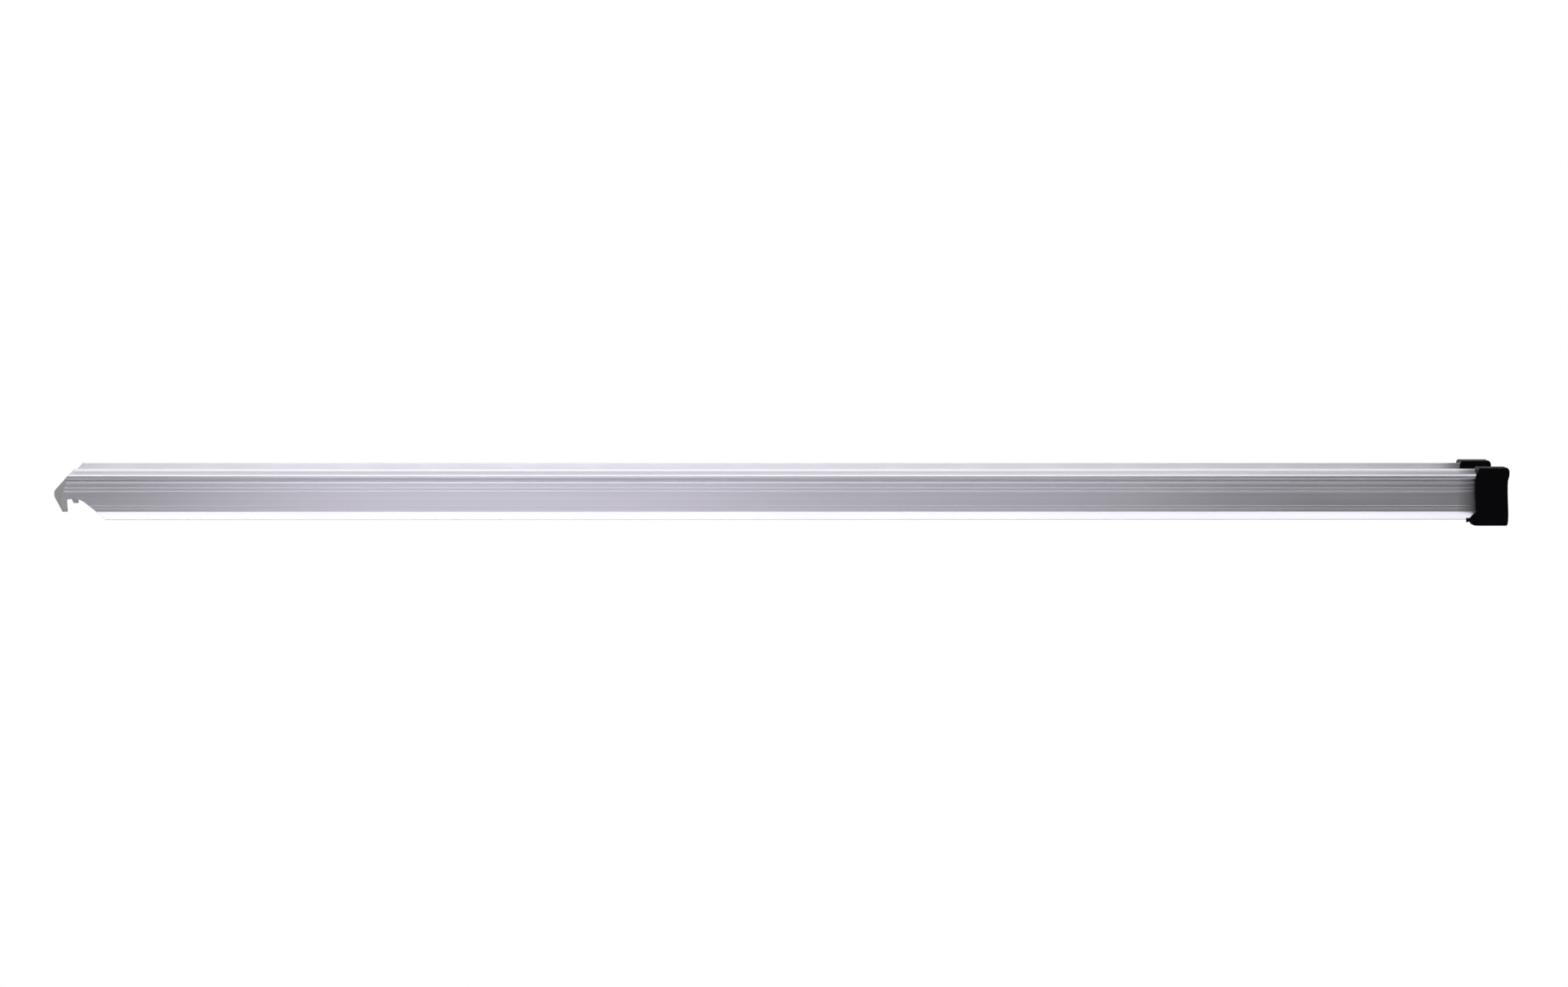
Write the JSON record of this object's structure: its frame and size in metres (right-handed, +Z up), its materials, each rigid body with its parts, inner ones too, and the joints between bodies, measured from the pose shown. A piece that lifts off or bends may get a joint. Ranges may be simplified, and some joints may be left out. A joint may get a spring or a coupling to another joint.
{
  "type": "loading ramp",
  "caption": "Narrow hook-on aluminium loading ramp: side rails with hooked ends, serrated rungs between them and black moulded end shoes.",
  "frame": {"origin": "on the ground under the middle of the ramp, which lies flat on its shoes", "axes": "+X runs along the ramp from the hooks to the shoes, +Y across it to the right rail, +Z up"},
  "size_m": [2, 0.2, 0.08],
  "materials": {
    "rail_aluminium": "satin mill-finish extrusion with fine lines along its length",
    "rung_aluminium": "satin extruded tread, lightly scuffed on its teeth",
    "shoe_rubber": "moulded black with a faint satin sheen",
    "screw_steel": "zinc-plated"
  },
  "bodies": {
    "root": {"side_rail_right": "rail_aluminium", "side_rail_left": "rail_aluminium", "end_shoe_right": "shoe_rubber", "end_shoe_left": "shoe_rubber", "rung_01": "rung_aluminium", "rung_02": "rung_aluminium", "rung_03": "rung_aluminium", "rung_04": "rung_aluminium", "rung_05": "rung_aluminium", "rung_06": "rung_aluminium", "rung_07": "rung_aluminium", "rung_08": "rung_aluminium", "rung_09": "rung_aluminium", "rung_10": "rung_aluminium", "rung_11": "rung_aluminium", "rung_12": "rung_aluminium", "rung_13": "rung_aluminium", "rung_14": "rung_aluminium", "rung_15": "rung_aluminium", "rung_16": "rung_aluminium", "rung_17": "rung_aluminium", "rung_18": "rung_aluminium", "shoe_screw_right_1": "screw_steel", "shoe_screw_right_2": "screw_steel", "shoe_screw_left_1": "screw_steel", "shoe_screw_left_2": "screw_steel"}
  },
  "joints": []
}
